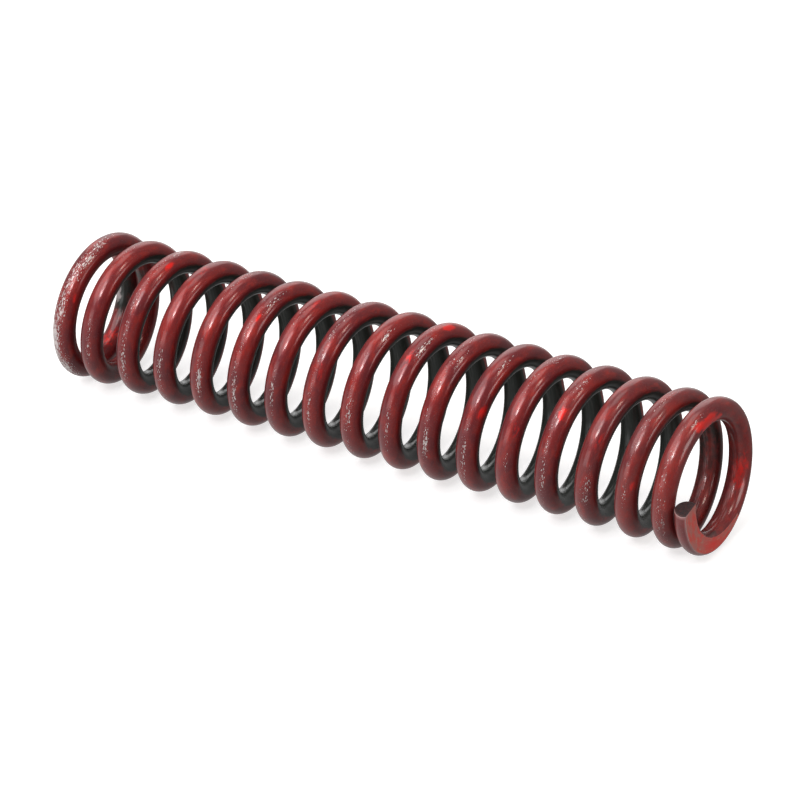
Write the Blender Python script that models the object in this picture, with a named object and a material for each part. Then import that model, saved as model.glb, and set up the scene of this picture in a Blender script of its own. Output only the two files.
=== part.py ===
"""A helical compression spring with closed and ground ends, lying along X.

The wire is one continuous left-hand helix. It is built as two rigid end coils and a row of half
turns between them, each half turn on the spring's axis, so that every stretch can slide along X
as the spring is pressed together.
"""

import math

import bmesh
import bpy
from mathutils import Vector

# Driving dimensions, in metres and degrees.
FREE_LENGTH = 0.2216
OUTSIDE_DIAMETER = 0.0466
WIRE_DIAMETER = 0.007
TOTAL_TURNS = 17.597
FIXED_END_PITCH = 0.0048
FREE_END_PITCH = 0.0052
RAMP_TURNS = 1.76
FIXED_TIP_ANGLE = 143.0
FIRST_CUT_ANGLE = 630.0
HALF_TURNS = 30
FACE_BEYOND_TIP = 0.0014
CUT_GAP = 0.0003
CUT_SHOULDER = 0.0010
FACET_ANGLE = 15.0
FIRST_COIL_NUMBER = 2

COIL_RADIUS = (OUTSIDE_DIAMETER - WIRE_DIAMETER) / 2
WIRE_RADIUS = WIRE_DIAMETER / 2
WIRE_LENGTH_ALONG_AXIS = FREE_LENGTH - 2 * FACE_BEYOND_TIP
RISE_OF_BOTH_RAMPS = RAMP_TURNS * (FIXED_END_PITCH + FREE_END_PITCH) / 2
PITCH = (WIRE_LENGTH_ALONG_AXIS - RISE_OF_BOTH_RAMPS) / (TOTAL_TURNS - RAMP_TURNS)
FREE_TIP_ANGLE = FIXED_TIP_ANGLE + 360 * TOTAL_TURNS

# A ring of flats is drawn so that its corners and flats lie equally far off the true circle.
HALF_FACET = math.radians(FACET_ANGLE / 2)
CORNER_RADIUS = 2 * COIL_RADIUS / (1 + math.cos(HALF_FACET))
FLAT_RADIUS = CORNER_RADIUS * math.cos(HALF_FACET)
WIRE_SIDES_SETTING = 3


def clear_scene():
    for obj in list(bpy.data.objects):
        bpy.data.objects.remove(obj, do_unlink=True)


def new_collection(name):
    collection = bpy.data.collections.new(name)
    bpy.context.scene.collection.children.link(collection)
    return collection


def painted_steel(name, colour, roughness, metallic):
    material = bpy.data.materials.new(name)
    material.use_nodes = True
    shader = material.node_tree.nodes["Principled BSDF"]
    shader.inputs["Base Color"].default_value = (*colour, 1.0)
    shader.inputs["Roughness"].default_value = roughness
    shader.inputs["Metallic"].default_value = metallic
    return material


def rise_from_tip(turns, end_pitch):
    """How far along the axis the wire has climbed this many turns from a tip, on the ramp and after it."""
    on_ramp = min(turns, RAMP_TURNS)
    growth = (PITCH - end_pitch) / RAMP_TURNS
    return end_pitch * on_ramp + growth * on_ramp**2 / 2 + PITCH * (turns - on_ramp)


def station(angle):
    """The wire centre's place along X at this winding angle, with X = 0 halfway along the spring."""
    turns = (angle - FIXED_TIP_ANGLE) / 360
    if turns < TOTAL_TURNS / 2:
        return rise_from_tip(turns, FIXED_END_PITCH) - WIRE_LENGTH_ALONG_AXIS / 2
    return WIRE_LENGTH_ALONG_AXIS / 2 - rise_from_tip(TOTAL_TURNS - turns, FREE_END_PITCH)


def corner(angle):
    """A corner of the faceted helix: angle 0 is at -Y, 90 at the top, 180 at +Y and 270 at the bottom."""
    turned = math.radians(angle)
    return Vector((station(angle), -CORNER_RADIUS * math.cos(turned), CORNER_RADIUS * math.sin(turned)))


def cut_points(angle, side):
    """The two points at a cut, at the top or the bottom of a turn, on one side of the plane Y = 0.

    Both are at the cut's own station, so that the flat cap lies square to Y.
    """
    height = FLAT_RADIUS * math.sin(math.radians(angle))
    return [Vector((station(angle), side * away, height)) for away in (CUT_GAP / 2, CUT_SHOULDER)]


def corners_between(start, stop):
    """The helix's corners, half a facet off the cuts, that lie over a degree inside this stretch."""
    first = math.floor(start / FACET_ANGLE)
    last = math.ceil(stop / FACET_ANGLE)
    angles = [(number + 0.5) * FACET_ANGLE for number in range(first, last)]
    return [corner(angle) for angle in angles if start + 1 < angle < stop - 1]


def wire_along(name, points, collection, material):
    """A round wire through these points, with its origin on the spring's axis at its own middle."""
    middle = (points[0].x + points[-1].x) / 2
    curve = bpy.data.curves.new(name, "CURVE")
    curve.dimensions = "3D"
    curve.bevel_depth = WIRE_RADIUS
    curve.bevel_resolution = WIRE_SIDES_SETTING
    curve.use_fill_caps = True
    spline = curve.splines.new("POLY")
    spline.points.add(len(points) - 1)
    for knot, point in zip(spline.points, points):
        knot.co = (point.x - middle, point.y, point.z, 1.0)
    curve.materials.append(material)
    wire = bpy.data.objects.new(name, curve)
    wire.location.x = middle
    collection.objects.link(wire)
    return wire


def as_mesh(wire, collection):
    """The same wire as a mesh with its caps welded on, ready for a Boolean."""
    bpy.context.view_layer.update()
    evaluated = wire.evaluated_get(bpy.context.evaluated_depsgraph_get())
    mesh = bpy.data.meshes.new_from_object(evaluated)
    work = bmesh.new()
    work.from_mesh(mesh)
    bmesh.ops.remove_doubles(work, verts=work.verts, dist=0.000001)
    bmesh.ops.recalc_face_normals(work, faces=work.faces)
    work.to_mesh(mesh)
    work.free()
    name = wire.name
    matrix = wire.matrix_world.copy()
    bpy.data.objects.remove(wire, do_unlink=True)
    solid = bpy.data.objects.new(name, mesh)
    solid.matrix_world = matrix
    collection.objects.link(solid)
    return solid


def grinding_block(name, side, collection):
    """A block whose inner face is the ground end face; side is -1 at the fixed end, 1 at the free end."""
    depth = 2 * WIRE_DIAMETER
    bpy.ops.mesh.primitive_cube_add(size=1.0)
    block = bpy.context.active_object
    block.name = name
    block.scale = (depth, 2 * OUTSIDE_DIAMETER, 2 * OUTSIDE_DIAMETER)
    block.location.x = side * (FREE_LENGTH + depth) / 2
    block.hide_render = True
    block.display_type = "WIRE"
    for holder in list(block.users_collection):
        holder.objects.unlink(block)
    collection.objects.link(block)
    return block


def grind(solid, block):
    cut = solid.modifiers.new("ground_face", "BOOLEAN")
    cut.operation = "DIFFERENCE"
    cut.solver = "EXACT"
    cut.object = block


def shade_round(solid):
    solid.data.shade_smooth()
    solid.data.set_sharp_from_angle(angle=math.radians(35))


def half_turn(index, collection, material):
    """One half turn between the cuts at the top and the bottom: even ones lie at -Y, odd ones at +Y."""
    start = FIRST_CUT_ANGLE + 180 * index
    stop = start + 180
    side, place = ((-1, "front"), (1, "rear"))[index % 2]
    points = cut_points(start, side) + corners_between(start, stop) + cut_points(stop, side)[::-1]
    name = f"coil_{FIRST_COIL_NUMBER + index // 2:02d}_{place}"
    return wire_along(name, points, collection, material)


def end_coils(collection, cutters, material):
    """The closed, ground coil at each end: each runs from its tip to the nearest cut at the bottom."""
    last_cut = FIRST_CUT_ANGLE + 180 * HALF_TURNS
    fixed_points = [corner(FIXED_TIP_ANGLE)] + corners_between(FIXED_TIP_ANGLE, FIRST_CUT_ANGLE)
    fixed_points += cut_points(FIRST_CUT_ANGLE, 1)[::-1]
    free_points = cut_points(last_cut, -1) + corners_between(last_cut, FREE_TIP_ANGLE)
    free_points += [corner(FREE_TIP_ANGLE)]
    coils = []
    for name, points, side in (("fixed_end_coil", fixed_points, -1), ("free_end_coil", free_points, 1)):
        coil = as_mesh(wire_along(name, points, collection, material), collection)
        grind(coil, grinding_block(f"{name}_grinding_block", side, cutters))
        shade_round(coil)
        coils.append(coil)
    return coils


def stand_on_floor(pieces):
    """Hangs every piece on one empty on the spring's axis, with the lowest corner of the wire at Z = 0."""
    bpy.context.view_layer.update()
    graph = bpy.context.evaluated_depsgraph_get()
    lowest = 0.0
    for piece in pieces:
        evaluated = piece.evaluated_get(graph)
        heights = [(evaluated.matrix_world @ vertex.co).z for vertex in evaluated.to_mesh().vertices]
        evaluated.to_mesh_clear()
        lowest = min(lowest, *heights)
    axis = bpy.data.objects.new("spring_axis", None)
    pieces[0].users_collection[0].objects.link(axis)
    axis.location.z = -lowest
    for piece in pieces:
        piece.parent = axis


def main():
    clear_scene()
    spring = new_collection("compression_spring")
    cutters = new_collection("grinding_blocks")
    red_paint = painted_steel("dark_red_paint_on_spring_steel", (0.20, 0.022, 0.020), 0.38, 0.0)
    worn_paint = painted_steel("worn_red_paint_on_ground_end_coil", (0.26, 0.045, 0.040), 0.46, 0.1)
    pieces = end_coils(spring, cutters, worn_paint)
    pieces += [half_turn(index, spring, red_paint) for index in range(HALF_TURNS)]
    stand_on_floor(pieces)


main()
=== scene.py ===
"""Looks of a coil spring: one wound wire with closed, ground ends and worn dark red paint.

The wire is built turn by turn where the CAD has it. Each turn is a closed piece that stands in place of the
CAD's parts for it.
"""

import math

import bpy
import numpy as np
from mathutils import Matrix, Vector


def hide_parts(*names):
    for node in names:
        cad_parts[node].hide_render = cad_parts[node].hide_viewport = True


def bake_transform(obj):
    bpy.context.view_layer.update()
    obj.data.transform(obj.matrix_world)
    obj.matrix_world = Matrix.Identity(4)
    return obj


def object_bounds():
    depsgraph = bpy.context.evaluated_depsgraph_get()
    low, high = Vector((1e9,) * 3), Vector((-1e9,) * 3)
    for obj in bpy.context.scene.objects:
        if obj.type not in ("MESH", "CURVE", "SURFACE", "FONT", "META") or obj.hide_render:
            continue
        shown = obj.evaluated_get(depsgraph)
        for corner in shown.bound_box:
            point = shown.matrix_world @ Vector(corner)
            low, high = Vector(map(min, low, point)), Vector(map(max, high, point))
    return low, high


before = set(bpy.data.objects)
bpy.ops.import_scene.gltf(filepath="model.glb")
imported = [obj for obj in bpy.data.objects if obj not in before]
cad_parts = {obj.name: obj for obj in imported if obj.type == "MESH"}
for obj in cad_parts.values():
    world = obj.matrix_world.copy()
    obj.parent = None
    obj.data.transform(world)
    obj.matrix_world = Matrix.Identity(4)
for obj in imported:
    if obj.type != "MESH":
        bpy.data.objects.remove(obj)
cad_low, cad_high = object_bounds()

# ---------------------------------------------------------------- sizes, in metres, degrees and turns

# The wire's driving dimensions, the same as the CAD's.
WIRE_RADIUS = 0.0035
COIL_RADIUS = 0.0198
TOTAL_TURNS = 17.597
RAMP_TURNS = 1.76
FIXED_END_PITCH = 0.0048
FREE_END_PITCH = 0.0052
FIXED_TIP_ANGLE = 143.0
FREE_TIP_ANGLE = FIXED_TIP_ANGLE + 360 * TOTAL_TURNS
FIRST_CUT_ANGLE = 630.0
LAST_CUT_ANGLE = 6030.0
FACE_BEYOND_TIP = 0.0014
FIRST_COIL_NUMBER = 2
COILS_BETWEEN_ENDS = round((LAST_CUT_ANGLE - FIRST_CUT_ANGLE) / 360)

FREE_LENGTH = cad_high.x - cad_low.x
MIDDLE_X = (cad_high.x + cad_low.x) / 2
AXIS_Y = (cad_high.y + cad_low.y) / 2
AXIS_HEIGHT = (cad_high.z + cad_low.z) / 2
WIRE_LENGTH_ALONG_AXIS = FREE_LENGTH - 2 * FACE_BEYOND_TIP
RISE_OF_BOTH_RAMPS = RAMP_TURNS * (FIXED_END_PITCH + FREE_END_PITCH) / 2
PITCH = (WIRE_LENGTH_ALONG_AXIS - RISE_OF_BOTH_RAMPS) / (TOTAL_TURNS - RAMP_TURNS)

# How finely the wire is drawn: points round a ring, and degrees of winding between rings.
SIDES = 48
RING_STEP = 2.5
ROUND_THE_RING = np.arange(SIDES) * 360.0 / SIDES

# The ground flat takes this many degrees of a ring's points on each side of its middle, and its rounded
# corner takes the next ones.
FLAT_HALF_SIDES = 45.0
CORNER_SIDES = 30.0
CORNER_WIDTH = 0.00016

# The least half width of the flat's stretch of points. Where the flat has run out, its points spread evenly
# round the wire again over this many degrees of winding.
NARROWEST_FLAT = 0.0005
EVEN_OUT_DEGREES = 70.0

# Half widths of the flat between which its corner begins to show rubbed paint and a painted edge highlight.
FLAT_SHOWS = (0.0002, 0.0012)

# The corner's rubbed paint and painted edge highlight are full this close to its middle and gone this far
# off, in degrees of a ring's points.
CORNER_MARK_ENDS = (8, 20)

# Degrees back from the tip over which the rubbed paint and painted edge highlight die out on the corner's
# outer side and drop on its inner one.
OUTER_MARK_ENDS = (45, 95)
INNER_MARK_ENDS = (10, 60)
INNER_MARK = 0.16
INNER_MARK_DROP = 0.10

# The sheared tip leans by this much at the wire's surface, and the lean dies out this many degrees behind it.
SHEAR_LEAN = 0.00075
SHEAR_BACK = 26.0

# The rings that round the sheared edge and cross the tip: size, distance forward, and how much rubbed paint
# and painted edge highlight each shows.
TIP_RINGS = [
    (0.992, 0.00005, 0.9),
    (0.972, 0.00010, 0.7),
    (0.940, 0.00012, 0.1),
    (0.72, 0.00012, 0.0),
    (0.42, 0.00010, 0.0),
    (0.16, 0.00008, 0.0),
]

# How uneven the sheared face is, the rubbed paint and painted edge highlight of the last ring beside its rim,
# and the share of the rim's rubbed paint and painted highlight that is left on its inner side.
BROAD_UNEVENNESS = 0.00004
FINE_UNEVENNESS = 0.00003
MARK_BESIDE_RIM = 0.5
LEAST_RIM_MARK = 0.08


# ---------------------------------------------------------------- the wire's path


def rise_from_tip(turns, end_pitch):
    """How far the wire has climbed along the axis, this many turns from its tip."""
    on_ramp = np.minimum(turns, RAMP_TURNS)
    growth = (PITCH - end_pitch) / RAMP_TURNS
    return end_pitch * on_ramp + growth * on_ramp**2 / 2 + PITCH * (turns - on_ramp)


def station(angle):
    """Where the wire's centre is along the axis, from the middle of the spring, at this winding angle."""
    turns = (np.asarray(angle, float) - FIXED_TIP_ANGLE) / 360
    from_fixed = rise_from_tip(turns, FIXED_END_PITCH) - WIRE_LENGTH_ALONG_AXIS / 2
    from_free = WIRE_LENGTH_ALONG_AXIS / 2 - rise_from_tip(TOTAL_TURNS - turns, FREE_END_PITCH)
    return np.where(turns < TOTAL_TURNS / 2, from_fixed, from_free)


def climb(angle):
    """The tangent of the wire's climb at this winding angle."""
    step = 0.5
    return (station(angle + step) - station(angle - step)) / (COIL_RADIUS * math.radians(2 * step))


def points_on_wire(angle, outward, along):
    """Points beside the wire's centre: outward from the coil's axis, and along that axis."""
    turn = np.radians(angle)
    radius = COIL_RADIUS + outward
    x = MIDDLE_X + station(angle) + along
    y = AXIS_Y - radius * np.cos(turn)
    z = AXIS_HEIGHT + radius * np.sin(turn)
    return np.stack(np.broadcast_arrays(x, y, z), -1)


def smooth_step(value, low, high):
    t = np.clip((np.asarray(value, float) - low) / (high - low), 0, 1)
    return t * t * (3 - 2 * t)


# ---------------------------------------------------------------- rings of the wire


def tip_angle(end):
    """The winding angle of a tip. end is -1 at the fixed end and 1 at the free end."""
    return FIXED_TIP_ANGLE if end < 0 else FREE_TIP_ANGLE


def degrees_of_flat(end):
    """How far back from its tip the wire still reaches the ground face."""
    back = np.arange(0, 300, 0.5)
    reach = end * station(tip_angle(end) - end * back) + WIRE_RADIUS
    return float(back[reach > FREE_LENGTH / 2].max())


RUN_OUT = {-1: degrees_of_flat(-1), 1: degrees_of_flat(1)}


def round_profile(angle):
    """Outward and along offsets of the points of each ring of plain wire. angle has one row per ring.

    Two more arrays say how much rubbed paint and painted edge highlight each point's corner has, and whether
    it is on a ground flat.
    """
    rho = np.radians(ROUND_THE_RING)[None, :] + 0 * angle
    outward = WIRE_RADIUS * np.cos(rho)
    along = WIRE_RADIUS * np.sin(rho) * np.sqrt(1 + climb(angle) ** 2)
    return outward, along, 0 * outward, 0 * outward


def flat_corner_and_arc(size, face, half_chord):
    """A ring's points across the ground flat, over its rounded corner and round the rest of the wire.

    size is how many degrees of the ring's points lie between a point and the middle of the flat, face is
    how far the ground face is from the wire's centre, and height is towards that face.
    """
    half_width = np.maximum(half_chord, NARROWEST_FLAT)
    flat_end = half_width - CORNER_WIDTH
    flat_share = np.clip(size / FLAT_HALF_SIDES, 0, 1)
    flat_height = np.minimum(np.sqrt(WIRE_RADIUS**2 - (flat_share * flat_end) ** 2), face)

    arc_start = np.degrees(np.arcsin(half_width / WIRE_RADIUS)) + np.degrees(CORNER_WIDTH / WIRE_RADIUS)
    arc_share = (size - FLAT_HALF_SIDES - CORNER_SIDES) / (180 - FLAT_HALF_SIDES - CORNER_SIDES)
    arc_share = np.clip(arc_share, 0, 1)
    arc = np.radians(arc_start + (180 - arc_start) * arc_share)

    t = np.clip((size - FLAT_HALF_SIDES) / CORNER_SIDES, 0, 1)
    end_out = WIRE_RADIUS * np.sin(np.radians(arc_start))
    end_height = WIRE_RADIUS * np.cos(np.radians(arc_start))
    corner_height = np.sqrt(WIRE_RADIUS**2 - half_width**2)
    start_height = np.minimum(np.sqrt(WIRE_RADIUS**2 - flat_end**2), face)
    bend_out = (1 - t) ** 2 * flat_end + 2 * t * (1 - t) * half_width + t**2 * end_out
    bend_height = (1 - t) ** 2 * start_height + 2 * t * (1 - t) * corner_height + t**2 * end_height

    on_flat = size <= FLAT_HALF_SIDES
    on_arc = size >= FLAT_HALF_SIDES + CORNER_SIDES
    outward = np.where(on_flat, flat_share * flat_end, np.where(on_arc, WIRE_RADIUS * np.sin(arc), bend_out))
    height = np.where(on_flat, flat_height, np.where(on_arc, WIRE_RADIUS * np.cos(arc), bend_height))
    return outward, height


def evened_out(outward, height, size, past, run_out):
    """The same points, spread evenly round the wire again where the flat has run out."""
    evenness = smooth_step(past, run_out, run_out + EVEN_OUT_DEGREES)
    turned = (1 - evenness) * np.degrees(np.arctan2(outward, height)) + evenness * size
    loose = evenness > 0
    outward = np.where(loose, WIRE_RADIUS * np.sin(np.radians(turned)), outward)
    height = np.where(loose, WIRE_RADIUS * np.cos(np.radians(turned)), height)
    return outward, height


def corner_wear_and_highlight(size, side, past, has_flat):
    """How rubbed the flat's corner is, with a painted highlight along it: most on its outer side near the
    tip, a little on its inner side.
    """
    on_corner = 1 - smooth_step(np.abs(size - FLAT_HALF_SIDES - CORNER_SIDES / 2), *CORNER_MARK_ENDS)
    outer = 1 - smooth_step(past, *OUTER_MARK_ENDS)
    inner = INNER_MARK - INNER_MARK_DROP * smooth_step(past, *INNER_MARK_ENDS)
    return has_flat * on_corner * np.where(side > 0, outer, inner)


def ground_profile(angle, end):
    """What round_profile gives, for an end coil, whose face is ground flat."""
    from_face = end * ROUND_THE_RING[None, :] + 0 * angle
    from_face = (90 - from_face + 180) % 360 - 180
    side = np.sign(from_face) + (from_face == 0)
    size = np.abs(from_face)
    face = FREE_LENGTH / 2 - end * station(angle)
    half_chord = np.sqrt(np.clip(WIRE_RADIUS**2 - face**2, 0, None)) * (face < WIRE_RADIUS)
    past = end * tip_angle(end) - end * angle
    outward, height = flat_corner_and_arc(size, face, half_chord)
    outward, height = evened_out(outward, height, size, past, RUN_OUT[end])
    beyond_quarter = size > 90
    height = np.where(beyond_quarter, height, np.minimum(height, face))
    has_flat = smooth_step(half_chord, *FLAT_SHOWS)
    # Rubbed paint on the flat's corner, which also paints a highlight along the edge.
    corner_mark = corner_wear_and_highlight(size, side, past, has_flat)
    flatness = has_flat * (size <= FLAT_HALF_SIDES + 1)
    stretch = np.where(beyond_quarter, np.sqrt(1 + climb(angle) ** 2), 1)
    return outward * side, end * height * stretch, corner_mark, flatness


# ---------------------------------------------------------------- wear and painted glints, placed on the wire

# Scuffs and painted glints: turn, angle in it, side of the wire (0 is outermost, 90 faces the free end), then
# half length and half width in degrees, and strength. The entries near angle 70 and side 35 put bright chips
# where the highlight of the lights on the right falls on each coil, as painted glints.
SCUFFS_AND_GLINTS = [
    (1, -10, -30, 30, 38, 1.5), (1, -38, 4, 20, 30, 1.2), (1, 66, 24, 20, 17, 0.95),
    (1, 42, -2, 24, 18, 0.8), (1, 18, -4, 24, 24, 0.9), (1, 84, 6, 16, 16, 0.6),
    (2, 0, 12, 18, 11, 0.7), (3, -5, 6, 26, 13, 0.75), (3, 98, 4, 12, 12, 0.55),
    (4, -3, 7, 16, 12, 0.85), (5, -5, 18, 17, 13, 1.0), (6, -9, 8, 22, 12, 0.85),
    (6, 73, 33, 16, 14, 0.55), (7, 0, 8, 17, 11, 0.8), (7, 62, -4, 14, 14, 0.3), (8, -4, 5, 18, 9, 0.7),
    (8, 55, 8, 6, 8, 0.4), (9, 1, 13, 13, 18, 0.65), (9, 70, 38, 7, 11, 1.1), (10, -1, 12, 18, 8, 0.7),
    (10, 69, 34, 11, 11, 1.0), (11, -4, 12, 12, 10, 1.2), (11, 66, 34, 11, 9, 0.7),
    (12, -7, 8, 25, 9, 0.75), (12, 74, 33, 10, 10, 0.8), (13, 0, 20, 9, 9, 0.5),
    (13, 96, 14, 8, 18, 0.45), (14, -3, 8, 17, 11, 0.6), (14, 72, 20, 14, 14, 0.35),
    (15, -4, 26, 16, 20, 0.5), (16, 1, 12, 11, 9, 0.45), (17, -14, 26, 20, 9, 0.5),
    (17, 70, 34, 8, 9, 0.6), (17, 22, 4, 10, 18, 0.3),
]

# The same, for patches of fresh bright red paint.
BRIGHT_PATCHES = [
    (17, 69, 60, 7, 22, 1.4), (17, 80, 82, 10, 26, 1.7), (17, 93, 102, 9, 16, 1.2),
    (17, 199, 150, 22, 40, 0.72), (17, 285, 90, 16, 45, 0.9), (14, 46, 16, 6, 28, 1.0),
    (10, 102, 33, 7, 16, 1.2), (3, 80, 40, 6, 14, 1.0), (12, 32, 57, 8, 24, 0.8),
    (16, 9, 44, 7, 14, 0.8), (6, 54, 22, 4, 9, 0.9), (7, 80, 20, 9, 14, 0.6),
    (0, 244, 168, 14, 40, 0.62), (1, 246, 168, 12, 24, 0.5), (1, 30, 52, 5, 14, 0.7),
    (10, 56, 4, 8, 18, 0.65), (13, 26, 40, 8, 18, 0.5), (2, 250, 150, 14, 20, 0.4),
    (4, 84, 6, 12, 18, 0.5), (8, 30, 30, 8, 16, 0.55), (15, 34, 40, 9, 22, 0.5),
]

# The same, for worn patches where grey metal shows through; the one at angle 70 and side 40 of turn 9 is a
# painted glint on the highlight.
BARE_AND_GLINT_PATCHES = [
    (1, -165, -150, 18, 40, 0.6), (1, -4, -26, 18, 22, 0.45), (11, -4, 12, 9, 7, 0.5),
    (5, -5, 18, 12, 9, 0.4), (9, 70, 40, 3, 7, 0.8), (3, 98, 2, 10, 9, 0.5),
]

# The same, for places that the spray missed.
MISSED_PATCHES = [
    (17, 291, 150, 26, 18, 0.50), (1, 180, 180, 45, 60, 0.70), (0, 188, 180, 34, 80, 0.85),
]

# Scuffs that every turn has on the sides that none of these places reach: angle in the turn, and strength.
# Each drifts a little from turn to turn. The last two numbers are for the faint line all along the outside.
UNSEEN_SIDES = [(150, 0.35), (205, 0.6), (262, 0.45)]
UNSEEN_HALF_LENGTH = 24
UNSEEN_HALF_WIDTH = 13
OUTER_LINE = 0.26
OUTER_LINE_HALF_WIDTH = 17


def patches(table, angle, rho):
    """How strong the strongest of a table's patches is at each point."""
    total = 0 * (angle + rho)
    for turn, at, side, half_length, half_width, strength in table:
        along = (angle - 360 * turn - at) / half_length
        across = ((rho - side + 180) % 360 - 180) / half_width
        total = np.maximum(total, strength * np.exp(-(along**2 + across**2)))
    return total


def scuff_and_glint_amount(angle, rho):
    """Scuffing and painted glints: the listed places, more scuffs on the unseen sides, and a faint outermost
    line.
    """
    placed = patches(SCUFFS_AND_GLINTS, angle, rho)
    side = (rho + 180) % 360 - 180
    turn = np.floor(angle / 360)
    spread = 0 * (angle + rho)
    for at, strength in UNSEEN_SIDES:
        drift = 14 * np.sin(turn * 2.4 + at)
        height = strength * (0.55 + 0.45 * np.sin(turn * 5.1 + at * 0.7))
        along = ((angle - at - drift + 180) % 360 - 180) / UNSEEN_HALF_LENGTH
        across = (side - 9 * np.sin(turn * 1.7 + at)) / UNSEEN_HALF_WIDTH
        spread = np.maximum(spread, height * np.exp(-(along**2 + across**2)))
    line = OUTER_LINE * np.exp(-((side / OUTER_LINE_HALF_WIDTH) ** 2))
    line = line * (0.6 + 0.4 * np.sin(np.radians(angle * 1.37)))
    return np.maximum(np.maximum(placed, spread), line)


# The spray fades from the wire's outer side to its inner one between these cosines of the side's angle.
SPRAY_ENDS = (-0.32, 0.36)

# In turns of winding angle: where red inside the coil fades out and in again, and where paint grows dull.
INNER_RED_FADES_OUT = (1.45, 2.75)
INNER_RED_FADES_IN = (15.9, 17.1)
INNER_RED = 0.92
DULL_TURNS = (13.0, 16.6)


def inner_red(angle):
    """How much red reached the inside of the coil: all of it near the open ends, none in the middle."""
    turns = angle / 360
    return np.maximum(1 - smooth_step(turns, *INNER_RED_FADES_OUT), smooth_step(turns, *INNER_RED_FADES_IN))


# ---------------------------------------------------------------- materials


class Shader:
    """A material's node tree, with a short call for each kind of node it needs."""

    def __init__(self, name):
        self.material = bpy.data.materials.new(name)
        self.material.use_nodes = True
        self.tree = self.material.node_tree
        self.surface = self.tree.nodes["Principled BSDF"]

    def put(self, socket, value):
        if isinstance(value, bpy.types.NodeSocket):
            self.tree.links.new(value, socket)
        else:
            socket.default_value = value

    def node(self, kind, inputs, **settings):
        made = self.tree.nodes.new(kind)
        for name, value in settings.items():
            setattr(made, name, value)
        for name, value in inputs.items():
            self.put(made.inputs[name], value)
        return made

    def share(self, name):
        """A number stored on the mesh."""
        return self.node("ShaderNodeAttribute", {}, attribute_name=name).outputs["Fac"]

    def place(self, along, across):
        """Where a point is on the straightened wire, counted in grains of these lengths."""
        where = self.node("ShaderNodeAttribute", {}, attribute_name="wire_place").outputs["Vector"]
        grains = (1 / along, 1 / across, 1 / across)
        counted = self.node("ShaderNodeVectorMath", {0: where, 1: grains}, operation="MULTIPLY")
        return counted.outputs["Vector"]

    def noise(self, along, across, detail=3.0, roughness=0.55, distortion=0.0):
        inputs = {
            "Vector": self.place(along, across),
            "Scale": 1.0,
            "Detail": detail,
            "Roughness": roughness,
            "Distortion": distortion,
        }
        return self.node("ShaderNodeTexNoise", inputs).outputs["Fac"]

    def cells(self, along, across, randomness=1.0):
        inputs = {"Vector": self.place(along, across), "Scale": 1.0, "Randomness": randomness}
        return self.node("ShaderNodeTexVoronoi", inputs).outputs["Distance"]

    def math(self, operation, first, second=0.0, clamp=False):
        inputs = {0: first, 1: second}
        return self.node("ShaderNodeMath", inputs, operation=operation, use_clamp=clamp).outputs["Value"]

    def step(self, value, low, high, to_low=0.0, to_high=1.0):
        """A soft step from to_low to to_high as value goes from low to high."""
        inputs = {"Value": value, "From Min": low, "From Max": high, "To Min": to_low, "To Max": to_high}
        return self.node("ShaderNodeMapRange", inputs, interpolation_type="SMOOTHSTEP").outputs["Result"]

    def mix(self, share, first, second):
        """One colour over another."""
        made = self.node("ShaderNodeMix", {}, data_type="RGBA")
        self.put(made.inputs["Factor"], share)
        self.put(made.inputs[6], first)
        self.put(made.inputs[7], second)
        return made.outputs[2]

    def blend(self, share, first, second):
        """One number over another."""
        made = self.node("ShaderNodeMix", {}, data_type="FLOAT")
        self.put(made.inputs["Factor"], share)
        self.put(made.inputs[2], first)
        self.put(made.inputs[3], second)
        return made.outputs[0]

    def bump(self, height, distance, strength=1.0, under=None):
        inputs = {"Height": height, "Distance": distance, "Strength": strength}
        if under:
            inputs["Normal"] = under
        return self.node("ShaderNodeBump", inputs).outputs["Normal"]

    def finish(self, colour, roughness, metallic, normal, **fixed):
        self.put(self.surface.inputs["Base Color"], colour)
        self.put(self.surface.inputs["Roughness"], roughness)
        self.put(self.surface.inputs["Metallic"], metallic)
        self.put(self.surface.inputs["Normal"], normal)
        for name, value in fixed.items():
            self.surface.inputs[name.replace("_", " ")].default_value = value
        return self.material


MILLIMETRE = 0.001
PAINT_FLAKE = 0.36
GLOSS = {"Specular_IOR_Level": 0.05, "Coat_Weight": 0.85, "Coat_Roughness": 0.18, "Coat_IOR": 1.5}
DEEP_RED = (0.235, 0.020, 0.019, 1)
WINE_RED = (0.140, 0.018, 0.022, 1)
BRICK_RED = (0.370, 0.026, 0.018, 1)
BRIGHT_RED = (0.72, 0.016, 0.012, 1)
OLD_FINISH = (0.022, 0.025, 0.022, 1)
OLD_FINISH_WORN = (0.042, 0.044, 0.040, 1)
DUSTY_MAUVE = (0.215, 0.085, 0.090, 1)
DUSTY_BROWN = (0.190, 0.060, 0.050, 1)
BARE_STEEL = (0.54, 0.46, 0.45, 1)
CHIP_EDGE = (0.80, 0.71, 0.69, 1)
DULL_BARE_STEEL = (0.235, 0.205, 0.235, 1)
# Rubbed paint on the ground corners and sheared rims, pale enough to be a painted edge highlight as well.
RUBBED_AND_HIGHLIGHTED_CORNER = (0.50, 0.30, 0.29, 1)
FLAT_PINK = (0.43, 0.130, 0.112, 1)
FLAT_RED = (0.60, 0.062, 0.046, 1)
FLAT_RUBBED = (0.48, 0.190, 0.150, 1)
FLAT_BRIGHT = (0.70, 0.035, 0.025, 1)
FLAT_SMUDGE = (0.44, 0.26, 0.19, 1)
SHEAR_DARK = (0.013, 0.006, 0.007, 1)
SHEAR_DUSTED = (0.044, 0.010, 0.010, 1)
PAINT_IOR = 1.5


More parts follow.
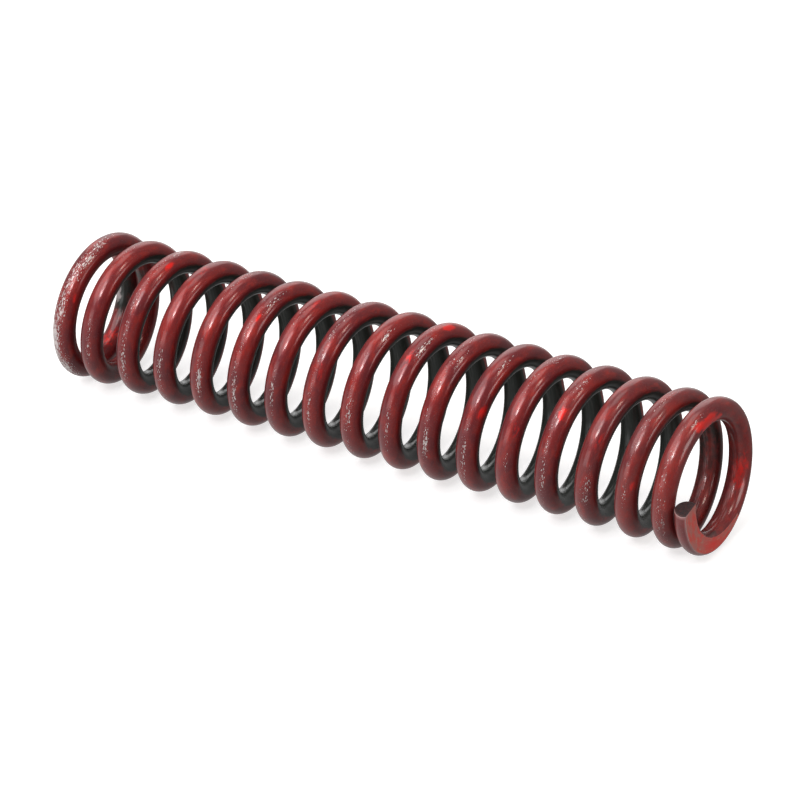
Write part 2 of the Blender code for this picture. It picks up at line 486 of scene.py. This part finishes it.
def sprayed_red(s, cloudy, stains, fine):
    """The red coat: clouds of wine and brick red, a dusty grain, and patches of fresh bright red."""
    mm = MILLIMETRE
    broad = s.noise(16 * mm, 7 * mm, 2.0)
    red = s.mix(s.step(broad, 0.34, 0.66), WINE_RED, DEEP_RED)
    red = s.mix(s.step(cloudy, 0.42, 0.78, 0.0, 0.80), red, BRICK_RED)
    red = s.mix(s.step(stains, 0.50, 0.72, 0.0, 0.60), red, WINE_RED)
    red = s.mix(s.step(fine, 0.48, 0.70, 0.0, 0.26), red, WINE_RED)
    grain = s.noise(0.42 * mm, 0.34 * mm, 2.0, 0.5)
    red = s.mix(s.step(grain, 0.54, 0.74, 0.0, 0.30), red, DUSTY_MAUVE)
    brushed = s.noise(2.8 * mm, 1.4 * mm, 3.0, 0.55, 0.5)
    bright = s.math("ADD", s.share("bright"), s.step(brushed, 0.25, 0.75, -0.34, 0.26))
    return s.mix(s.step(bright, 0.18, 0.85), red, BRIGHT_RED)


def old_finish(s):
    """The dark green-black finish under the red, with paler worn streaks along the wire."""
    streaks = s.noise(9 * MILLIMETRE, 0.9 * MILLIMETRE, 2.0)
    return s.mix(s.step(streaks, 0.50, 0.76, 0.0, 0.8), OLD_FINISH, OLD_FINISH_WORN)


def spray_reach(s, cloudy, fine):
    """How far the red covers the old finish, with a cloudy edge."""
    reach = s.math("ADD", s.share("sprayed"), s.step(cloudy, 0.2, 0.8, -0.15, 0.15))
    reach = s.math("ADD", reach, s.step(fine, 0.2, 0.8, -0.06, 0.06))
    return s.step(reach, 0.22, 0.78)


def dusted(s, colour, scuff_and_glint, sprayed, cloudy, stains):
    """Dust in the scuffed places and on the painted glints, and a brown haze over the red of the last coils.
    """
    dust = s.math("MULTIPLY", scuff_and_glint, s.step(cloudy, 0.30, 0.70))
    colour = s.mix(s.step(dust, 0.10, 0.80, 0.0, 0.50), colour, DUSTY_MAUVE)
    dulled_red = s.math("MULTIPLY", s.share("dull"), sprayed)
    haze = s.math("MULTIPLY", dulled_red, s.step(stains, 0.30, 0.70, 0.05, 0.32))
    return s.mix(haze, colour, DUSTY_BROWN)


def chips_and_glints(s, scuff_and_glint, cloudy, stains, fine):
    """Where flakes and smaller crumbs of paint have come off, most where the wire is scuffed; at the painted
    glints these bright flecks stand for the highlight.
    """
    mm = MILLIMETRE
    jagged = s.step(fine, 0.2, 0.8, -0.14, 0.14)
    flakes = s.math("ADD", s.cells(1.25 * mm, 0.40 * mm), jagged)
    flaked = s.math("MULTIPLY", scuff_and_glint, s.step(stains, 0.30, 0.70, 0.33, 0.53))
    flaked = s.step(s.math("SUBTRACT", flaked, flakes), -0.10, -0.05)
    grains = s.math("ADD", s.cells(0.50 * mm, 0.26 * mm), jagged)
    crumbs = s.math("MULTIPLY", scuff_and_glint, s.step(cloudy, 0.30, 0.70, 0.20, 0.40))
    crumbs = s.step(s.math("SUBTRACT", crumbs, grains), -0.10, -0.04, 0.0, 0.75)
    return s.math("MULTIPLY", s.math("MAXIMUM", flaked, crumbs), s.step(scuff_and_glint, 0.04, 0.24))


def painted_wire():
    """Red paint sprayed from outside over an old dark finish, scuffed and chipped where it rubs, with painted
    glints of bright chips on the highlight and a painted highlight along rubbed corners.
    """
    s = Shader("worn_red_paint_on_spring_wire")
    mm = MILLIMETRE
    cloudy = s.noise(5.0 * mm, 2.4 * mm, 3.0, 0.55)
    stains = s.noise(3.2 * mm, 1.6 * mm, 3.0, 0.5, 0.6)
    fine = s.noise(0.9 * mm, 0.5 * mm, 3.0, 0.6)
    scuff_and_glint = s.share("scuff_and_glint")
    sprayed = spray_reach(s, cloudy, fine)
    colour = s.mix(sprayed, old_finish(s), sprayed_red(s, cloudy, stains, fine))
    colour = dusted(s, colour, scuff_and_glint, sprayed, cloudy, stains)

    bare_and_glint = s.math("ADD", s.share("bare_and_glint"), s.step(cloudy, 0.2, 0.8, -0.35, 0.35))
    bare_and_glint = s.step(bare_and_glint, 0.35, 0.75)
    # Chips and bare metal: pale flecks that also paint the glints on the highlight.
    metal = s.math("MAXIMUM", chips_and_glints(s, scuff_and_glint, cloudy, stains, fine), bare_and_glint)
    steel = s.mix(s.step(fine, 0.3, 0.7), BARE_STEEL, CHIP_EDGE)
    steel = s.mix(s.math("MULTIPLY", bare_and_glint, 0.65), steel, DULL_BARE_STEEL)
    colour = s.mix(metal, colour, steel)
    # The corner's rubbed paint, which also paints a highlight along the edge.
    edge = s.math("MULTIPLY", s.share("corner"), s.step(fine, 0.25, 0.55, 0.55, 1.0))
    colour = s.mix(edge, colour, RUBBED_AND_HIGHLIGHTED_CORNER)

    rough = s.blend(sprayed, 0.34, 0.40)
    rough = s.math("ADD", rough, s.math("MULTIPLY", s.share("dull"), 0.10))
    rough = s.math("ADD", rough, s.step(cloudy, 0.2, 0.8, -0.05, 0.08))
    rough = s.blend(metal, rough, 0.42)
    metallic = s.blend(metal, s.math("MULTIPLY", sprayed, PAINT_FLAKE), 0.55)
    ripple = s.noise(3.0 * mm, 1.8 * mm, 2.0, 0.5)
    normal = s.bump(ripple, 0.05 * mm, 0.5)
    normal = s.bump(s.math("SUBTRACT", 1.0, metal), 0.05 * mm, 0.9, normal)
    s.put(s.surface.inputs["Coat Normal"], normal)
    return s.finish(colour, rough, metallic, normal, IOR=PAINT_IOR, **GLOSS)


def ground_flat():
    """The ground face of an end coil: paint over a ground surface, rubbed through in places."""
    s = Shader("rubbed_red_paint_on_ground_flat")
    mm = MILLIMETRE
    grinding = s.noise(6 * mm, 0.6 * mm, 3.0, 0.6)
    cloudy = s.noise(4.0 * mm, 1.8 * mm, 3.0, 0.6)
    fine = s.noise(0.8 * mm, 0.5 * mm, 3.0)
    red = s.mix(s.step(cloudy, 0.40, 0.62), FLAT_PINK, FLAT_RED)
    red = s.mix(s.step(grinding, 0.45, 0.75, 0.0, 0.4), red, FLAT_RUBBED)
    red = s.mix(s.share("bright"), red, FLAT_BRIGHT)
    smudge = s.step(s.noise(2.4 * mm, 1.1 * mm, 4.0, 0.65), 0.60, 0.66)
    colour = s.mix(s.math("MULTIPLY", smudge, 0.50), red, FLAT_SMUDGE)
    # The corner's rubbed paint, which also paints a highlight along the edge.
    edge = s.math("MULTIPLY", s.share("corner"), s.step(fine, 0.25, 0.55, 0.4, 1.0))
    colour = s.mix(edge, colour, RUBBED_AND_HIGHLIGHTED_CORNER)
    rough = s.step(grinding, 0.2, 0.8, 0.40, 0.58)
    normal = s.bump(grinding, 0.02 * mm, 0.7)
    normal = s.bump(cloudy, 0.05 * mm, 0.7, normal)
    return s.finish(colour, rough, s.math("MULTIPLY", edge, 0.3), normal, IOR=PAINT_IOR)


def sheared_face():
    """The sheared end of the wire: dark, dull, with paint that only dusted it."""
    s = Shader("dusted_shear_at_wire_tip")
    mm = MILLIMETRE
    torn = s.noise(1.2 * mm, 0.8 * mm, 4.0, 0.65)
    grain = s.noise(0.4 * mm, 0.3 * mm, 3.0)
    colour = s.mix(s.step(torn, 0.38, 0.68), SHEAR_DARK, SHEAR_DUSTED)
    # The sheared rim's rubbed paint, which also paints a highlight along its edge.
    edge = s.math("MULTIPLY", s.share("corner"), s.step(grain, 0.25, 0.6, 0.4, 1.0))
    colour = s.mix(edge, colour, RUBBED_AND_HIGHLIGHTED_CORNER)
    rough = s.step(grain, 0.2, 0.8, 0.50, 0.75)
    normal = s.bump(torn, 0.12 * mm, 0.9)
    normal = s.bump(grain, 0.04 * mm, 0.8, normal)
    return s.finish(colour, rough, s.math("MULTIPLY", edge, 0.3), normal, IOR=PAINT_IOR)


WIRE_PAINT = painted_wire()
FLAT_PAINT = ground_flat()
TIP_STEEL = sheared_face()


# ---------------------------------------------------------------- pieces of wire

ON_WIRE, ON_FLAT, ON_TIP = range(3)


def lean_of(outward, back):
    """How many degrees a point runs on past its ring, where the sheared tip leans."""
    lean = np.degrees(-outward / WIRE_RADIUS * SHEAR_LEAN / COIL_RADIUS)
    return (1 - smooth_step(back, 0, SHEAR_BACK)) * lean


def wire_grid(angles, end):
    """Rings of points for these winding angles, and what is stored on them."""
    angle = np.asarray(angles, float)[:, None]
    outward, along, corner, flat = ground_profile(angle, end) if end else round_profile(angle)
    rho = np.degrees(np.arctan2(along, outward))
    where = angle + 0 * rho
    if end:
        where = angle + end * lean_of(outward, np.abs(angle - tip_angle(end)))
    points = points_on_wire(where, outward, along + station(angle) - station(where))
    stored = {"where": where, "rho": rho, "corner": corner, "flat": flat, "outward": outward, "along": along}
    return points, stored


def tip_rings(rings):
    """Rings that round the sheared edge and close the tip, the tip's middle and the way it faces."""
    ring = rings[-1]
    middle = ring.mean(0)
    tangent = ring - rings[-2]
    tangent = tangent.mean(0) / np.linalg.norm(tangent.mean(0))
    share = np.arange(SIDES) / SIDES * 2 * math.pi
    made = []
    for scale, forward, _ in TIP_RINGS:
        broad = BROAD_UNEVENNESS * (1 - scale) * np.sin(3 * share + 9 * scale)
        rough = broad + FINE_UNEVENNESS * (1 - scale) * np.sin(7 * share)
        made.append(middle + (ring - middle) * scale + (forward + rough)[:, None] * tangent)
    return made, middle + tangent * TIP_RINGS[-1][1], tangent


def carry_over_tip(stored):
    """Continues what is stored on the last ring over the tip's rings, with the rubbed paint and painted edge
    highlight of the sheared rim.
    """
    last = len(stored["where"]) - 1
    for label, values in stored.items():
        stored[label] = np.concatenate([values, np.repeat(values[-1:], len(TIP_RINGS), 0)])
    outer_side = smooth_step(stored["outward"][-1] / WIRE_RADIUS, 0.0, 0.9)
    outer_rim = LEAST_RIM_MARK + (1 - LEAST_RIM_MARK) * outer_side
    stored["corner"][last] = np.maximum(stored["corner"][last], MARK_BESIDE_RIM * outer_rim)
    for row, (_, _, rim_mark) in enumerate(TIP_RINGS, start=last + 1):
        stored["corner"][row] = rim_mark * outer_rim


def ring_normals(stack):
    """Outward normals of all rings but the first and last, from each point's neighbours."""
    around = np.roll(stack, -1, 1) - np.roll(stack, 1, 1)
    onward = stack[2:] - stack[:-2]
    normal = np.cross(onward, around[1:-1])
    from_middle = stack[1:-1] - stack[1:-1].mean(1, keepdims=True)
    normal *= np.sign((from_middle * normal).sum(-1).mean()) or 1
    return normal / np.linalg.norm(normal, axis=-1, keepdims=True)


def ring_faces(total, flat, tip_at, forward):
    """Faces between the rings and over both ends, and the material of each.

    tip_at is the number of the tip's first ring, or None.
    """
    faces = []
    kinds = []
    for j in range(total - 1):
        for k in range(SIDES):
            a, b = j * SIDES + k, j * SIDES + (k + 1) % SIDES
            c, d = b + SIDES, a + SIDES
            faces.append((a, b, c, d) if forward else (a, d, c, b))
            if tip_at and j >= tip_at:
                kinds.append(ON_TIP)
            elif tip_at and flat[j, k] > 0.5 and flat[j, (k + 1) % SIDES] > 0.5:
                kinds.append(ON_FLAT)
            else:
                kinds.append(ON_WIRE)
    start_cap = tuple(range(SIDES))
    faces.append(start_cap[::-1] if forward else start_cap)
    kinds.append(ON_WIRE)
    last_ring = (total - 1) * SIDES
    if tip_at:
        middle = total * SIDES
        for k in range(SIDES):
            a, b = last_ring + k, last_ring + (k + 1) % SIDES
            faces.append((a, b, middle) if forward else (b, a, middle))
            kinds.append(ON_TIP)
    else:
        end_cap = tuple(last_ring + k for k in range(SIDES))
        faces.append(end_cap if forward else end_cap[::-1])
        kinds.append(ON_WIRE)
    return faces, kinds


def set_normals(mesh, vertex_normals):
    """Gives the mesh these normals, but leaves the flat caps flat."""
    vertex_of_loop = np.empty(len(mesh.loops), np.int32)
    mesh.loops.foreach_get("vertex_index", vertex_of_loop)
    loop_normals = vertex_normals[vertex_of_loop]
    for polygon in mesh.polygons:
        if len(polygon.vertices) == SIDES:
            loop_normals[polygon.loop_start:polygon.loop_start + SIDES] = polygon.normal
    mesh.normals_split_custom_set(loop_normals.tolist())


def store_marks(mesh, stored, tip_at):
    """Stores on each point what the materials read, and gives each point's winding angle."""
    where, rho, corner = (stored[label].ravel() for label in ("where", "rho", "corner"))
    lengthwise = np.radians(where) * COIL_RADIUS
    place = np.stack([lengthwise, stored["outward"].ravel(), stored["along"].ravel()], -1)
    if tip_at:
        for number, (scale, _, _) in enumerate(TIP_RINGS, start=tip_at):
            place[number * SIDES:(number + 1) * SIDES, 1:] *= scale
        place = np.concatenate([place, [[math.radians(where[-1]) * COIL_RADIUS, 0, 0]]])
        where = np.append(where, where[-1])
        rho = np.append(rho, 0)
        corner = np.append(corner, 0)
    sprayed = smooth_step(np.cos(np.radians(rho)), *SPRAY_ENDS)
    sprayed = np.maximum(sprayed, inner_red(where) * INNER_RED) - patches(MISSED_PATCHES, where, rho)
    shares = {
        "scuff_and_glint": scuff_and_glint_amount(where, rho),
        "bright": patches(BRIGHT_PATCHES, where, rho),
        "bare_and_glint": patches(BARE_AND_GLINT_PATCHES, where, rho),
        "sprayed": sprayed,
        "corner": corner,
        "dull": smooth_step(where / 360, *DULL_TURNS),
    }
    for label, values in shares.items():
        mesh.attributes.new(label, "FLOAT", "POINT").data.foreach_set("value", values.astype(np.float32))
    vector = mesh.attributes.new("wire_place", "FLOAT_VECTOR", "POINT")
    vector.data.foreach_set("vector", place.astype(np.float32).ravel())
    return where


def wire_piece(name, first, last, end):
    """One closed length of the wire, and its points' winding angles. At an end coil, last is the tip."""
    count = int(round(abs(last - first) / RING_STEP)) + 1
    step = (last - first) / (count - 1)
    one_more_each_way = np.concatenate([[first - step], np.linspace(first, last, count), [last + step]])
    points, stored = wire_grid(one_more_each_way, end)
    rings = list(points)
    stored = {label: values[1:-1] for label, values in stored.items()}
    tip_at = count if end else None
    if end:
        extra, apex, facing = tip_rings(rings[:-1])
        rings = rings[:-1] + extra + [np.repeat(apex[None, :], SIDES, 0)]
        carry_over_tip(stored)
    stack = np.array(rings)
    normals = ring_normals(stack)
    total = len(stack) - 2
    vertices = stack[1:-1].reshape(-1, 3)
    if end:
        normals[tip_at + 2:] = facing
        vertices = np.concatenate([vertices, [apex]])
    vertex_normals = normals.reshape(-1, 3)
    if end:
        vertex_normals = np.concatenate([vertex_normals, [facing]])

    faces, kinds = ring_faces(total, stored["flat"], tip_at, last > first)
    mesh = bpy.data.meshes.new(name)
    mesh.from_pydata(vertices.tolist(), [], faces)
    mesh.update()
    for material in (WIRE_PAINT, FLAT_PAINT, TIP_STEEL) if end else (WIRE_PAINT,):
        mesh.materials.append(material)
    mesh.polygons.foreach_set("material_index", kinds)
    mesh.polygons.foreach_set("use_smooth", [True] * len(faces))
    set_normals(mesh, vertex_normals)
    where = store_marks(mesh, stored, tip_at)
    unroll(mesh, total, bool(end))
    piece = bpy.data.objects.new(name, mesh)
    bpy.context.scene.collection.objects.link(piece)
    return piece, where


# The texture layout: the margin round each strip, the height of the two strips, and the discs for the ends.
STRIP_MARGIN = 0.01
STRIPS_HEIGHT = 0.86
START_DISC = (0.07, 0.93)
END_DISC = (0.21, 0.93)
DISC_RADIUS = 0.055


def unroll(mesh, total, has_tip):
    """A texture layout: the wire's surface in two strips side by side, and its ends in one of their own."""
    layer = mesh.uv_layers.new(name="OFBake")
    rows = total - 1
    half = (rows + 1) // 2
    strip_height = STRIPS_HEIGHT / 2
    for polygon in mesh.polygons:
        index = polygon.index
        if index < rows * SIDES:
            j, k = divmod(index, SIDES)
            strip = 0 if j < half else 1
            start = strip * half
            length = half if strip == 0 else rows - half
            for loop in polygon.loop_indices:
                vj, vk = divmod(mesh.loops[loop].vertex_index, SIDES)
                if k == SIDES - 1 and vk == 0:
                    vk = SIDES
                u = STRIP_MARGIN + (1 - 2 * STRIP_MARGIN) * (vj - start) / max(length, 1)
                v = STRIP_MARGIN + strip * strip_height + (strip_height - 2 * STRIP_MARGIN) * vk / SIDES
                layer.data[loop].uv = (u, v)
            continue
        disc_x, disc_y = START_DISC if index == rows * SIDES else END_DISC
        for loop in polygon.loop_indices:
            vertex = mesh.loops[loop].vertex_index
            if has_tip and vertex == len(mesh.vertices) - 1:
                layer.data[loop].uv = (disc_x, disc_y)
                continue
            share = 2 * math.pi * (vertex % SIDES) / SIDES
            u = disc_x + DISC_RADIUS * math.cos(share)
            v = disc_y + DISC_RADIUS * math.sin(share)
            layer.data[loop].uv = (u, v)


# ---------------------------------------------------------------- each piece in place of its CAD parts


def attach(piece, nodes):
    """Fixes a piece where it stands and hides the CAD parts it takes the place of."""
    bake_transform(piece)
    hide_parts(*nodes)


piece, where = wire_piece("wire_fixed_end_coil", FIRST_CUT_ANGLE, FIXED_TIP_ANGLE, -1)
attach(piece, ["fixed_end_coil"])
for turn in range(FIRST_COIL_NUMBER, FIRST_COIL_NUMBER + COILS_BETWEEN_ENDS):
    begin = FIRST_CUT_ANGLE + 360 * (turn - FIRST_COIL_NUMBER)
    piece, where = wire_piece(f"wire_coil_{turn:02d}", begin, begin + 360, 0)
    attach(piece, [f"coil_{turn:02d}_front", f"coil_{turn:02d}_rear"])
piece, where = wire_piece("wire_free_end_coil", LAST_CUT_ANGLE, FREE_TIP_ANGLE, 1)
attach(piece, ["free_end_coil"])


# ---------------------------------------------------------------- floor, light and camera


FLOOR_PALE = (0.50, 0.50, 0.50, 1)
FLOOR_PALER = (0.52, 0.52, 0.52, 1)
FLOOR_GLOW = 0.68
FLOOR_SIZE = 40


def floor_material():
    s = Shader("pale_studio_floor")
    spot = s.tree.nodes.new("ShaderNodeTexCoord").outputs["Object"]
    mottle = s.node("ShaderNodeTexNoise", {"Vector": spot, "Scale": 6.0, "Detail": 3.0}).outputs["Fac"]
    colour = s.mix(s.step(mottle, 0.3, 0.7), FLOOR_PALE, FLOOR_PALER)
    rough = s.step(mottle, 0.3, 0.7, 0.85, 0.95)
    grain = s.node("ShaderNodeTexNoise", {"Vector": spot, "Scale": 900.0, "Detail": 2.0}).outputs["Fac"]
    s.surface.inputs["Emission Color"].default_value = (1, 1, 1, 1)
    s.surface.inputs["Emission Strength"].default_value = FLOOR_GLOW
    return s.finish(colour, rough, 0.0, s.bump(grain, 0.0001, 0.2), IOR=1.3)


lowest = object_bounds()[0].z
bpy.ops.mesh.primitive_plane_add(size=FLOOR_SIZE, location=(0, 0, lowest))
floor = bpy.context.object
floor.name = "floor"
floor.data.materials.append(floor_material())
floor.visible_diffuse = False
floor.visible_glossy = False
floor.visible_shadow = False

centre = Vector((MIDDLE_X, AXIS_Y, AXIS_HEIGHT))


# Where the surroundings are brightest, then how bright they are on the side away from it and towards it.
ABOVE_THE_TABLE = ((-0.55, 0.78, 0.30), 0.15, 0.38)
BELOW_THE_TABLE = ((-0.75, -0.60, -0.30), 0.22, 0.80)
FIRST_LEAN = -0.3
HORIZON_BLUR = 0.03


def soft_light(name, azimuth, elevation, distance, width, height, power, colour):
    """An area light that faces the middle of the spring. Azimuth 0 is in front, 90 at the free end."""
    a, e = math.radians(azimuth), math.radians(elevation)
    towards = Vector((math.sin(a) * math.cos(e), -math.cos(a) * math.cos(e), math.sin(e)))
    data = bpy.data.lights.new(name, "AREA")
    data.shape = "RECTANGLE"
    data.size = width
    data.size_y = height
    data.energy = power
    data.color = colour
    light = bpy.data.objects.new(name, data)
    light.location = centre + towards * distance
    light.rotation_mode = "QUATERNION"
    light.rotation_quaternion = (-towards).to_track_quat("-Z", "Y")
    bpy.context.scene.collection.objects.link(light)


WHITE = (1.0, 1.0, 1.0)
NEAR_WHITE = (1.0, 0.99, 0.99)
FAINTLY_WARM = (1.0, 0.97, 0.94)
WARM = (1.0, 0.92, 0.84)
WARMER = (1.0, 0.90, 0.78)

# Each light's name, azimuth, elevation, distance, width, height, power and colour.
LIGHTS = [
    ("left_softbox", -45, 50, 2.5, 2.6, 2.1, 42, WHITE),
    ("front_softbox", 0, 52, 2.5, 1.0, 1.0, 14, WHITE),
    ("front_strip", 3, 43, 1.6, 0.30, 0.22, 6, NEAR_WHITE),
    ("right_softbox", 92, 50, 2.5, 1.0, 1.0, 2.5, WARM),
    ("right_strip", 98, 50, 1.6, 0.28, 0.22, 2.4, WARMER),
    ("low_front_fill", -18, 8, 2.5, 1.8, 0.9, 10, WHITE),
    ("end_softbox", 95, 12, 2.5, 1.1, 1.0, 17, FAINTLY_WARM),
    ("back_left_softbox", 215, 30, 2.5, 2.2, 1.6, 14.5, WHITE),
    ("low_back_left_fill", 205, -4, 2.5, 1.6, 0.9, 2.8, WHITE),
    ("overhead_softbox", 200, 76, 2.5, 1.4, 1.4, 12, FAINTLY_WARM),
]
for light in LIGHTS:
    soft_light(*light)


def studio_world():
    """Dim surroundings, paler behind on the left, over a table that is paler in front on the left."""
    world = bpy.data.worlds.new("dim_studio")
    world.use_nodes = True
    tree = world.node_tree
    towards = tree.nodes.new("ShaderNodeTexCoord").outputs["Generated"]
    levels = []
    for brightest, dim, bright in (ABOVE_THE_TABLE, BELOW_THE_TABLE):
        lean = tree.nodes.new("ShaderNodeVectorMath")
        lean.operation = "DOT_PRODUCT"
        lean.inputs[1].default_value = brightest
        tree.links.new(towards, lean.inputs[0])
        strength = tree.nodes.new("ShaderNodeMapRange")
        strength.inputs["From Min"].default_value = FIRST_LEAN
        strength.inputs["From Max"].default_value = 1.0
        strength.inputs["To Min"].default_value = dim
        strength.inputs["To Max"].default_value = bright
        tree.links.new(lean.outputs["Value"], strength.inputs["Value"])
        levels.append(strength.outputs["Result"])
    apart = tree.nodes.new("ShaderNodeSeparateXYZ")
    tree.links.new(towards, apart.inputs["Vector"])
    above = tree.nodes.new("ShaderNodeMapRange")
    above.inputs["From Min"].default_value = -HORIZON_BLUR
    above.inputs["From Max"].default_value = HORIZON_BLUR
    tree.links.new(apart.outputs["Z"], above.inputs["Value"])
    level = tree.nodes.new("ShaderNodeMix")
    tree.links.new(above.outputs["Result"], level.inputs["Factor"])
    tree.links.new(levels[1], level.inputs[2])
    tree.links.new(levels[0], level.inputs[3])
    tree.links.new(level.outputs[0], tree.nodes["Background"].inputs["Strength"])
    tree.nodes["Background"].inputs["Color"].default_value = (1.0, 1.0, 1.0, 1)
    return world


world = studio_world()
bpy.context.scene.world = world
bpy.context.scene.view_settings.view_transform = "Standard"

# Degrees round from the front towards the free end, degrees up, metres away, millimetres of lens and sensor.
CAMERA_AZIMUTH = 30.85
CAMERA_ELEVATION = 28.33
CAMERA_DISTANCE = 1.502
CAMERA_LENS = 225.9
CAMERA_SENSOR = 36
AIM_FROM_CENTRE = Vector((0.0024, -0.0007, -0.0035))

azimuth, elevation = math.radians(CAMERA_AZIMUTH), math.radians(CAMERA_ELEVATION)
back = Vector((
    math.sin(azimuth) * math.cos(elevation),
    -math.cos(azimuth) * math.cos(elevation),
    math.sin(elevation),
))
camera_data = bpy.data.cameras.new("camera")
camera_data.lens = CAMERA_LENS
camera_data.sensor_width = CAMERA_SENSOR
camera = bpy.data.objects.new("camera", camera_data)
camera.location = centre + AIM_FROM_CENTRE + back * CAMERA_DISTANCE
camera.rotation_mode = "QUATERNION"
camera.rotation_quaternion = (-back).to_track_quat("-Z", "Y")
bpy.context.scene.collection.objects.link(camera)
bpy.context.scene.camera = camera
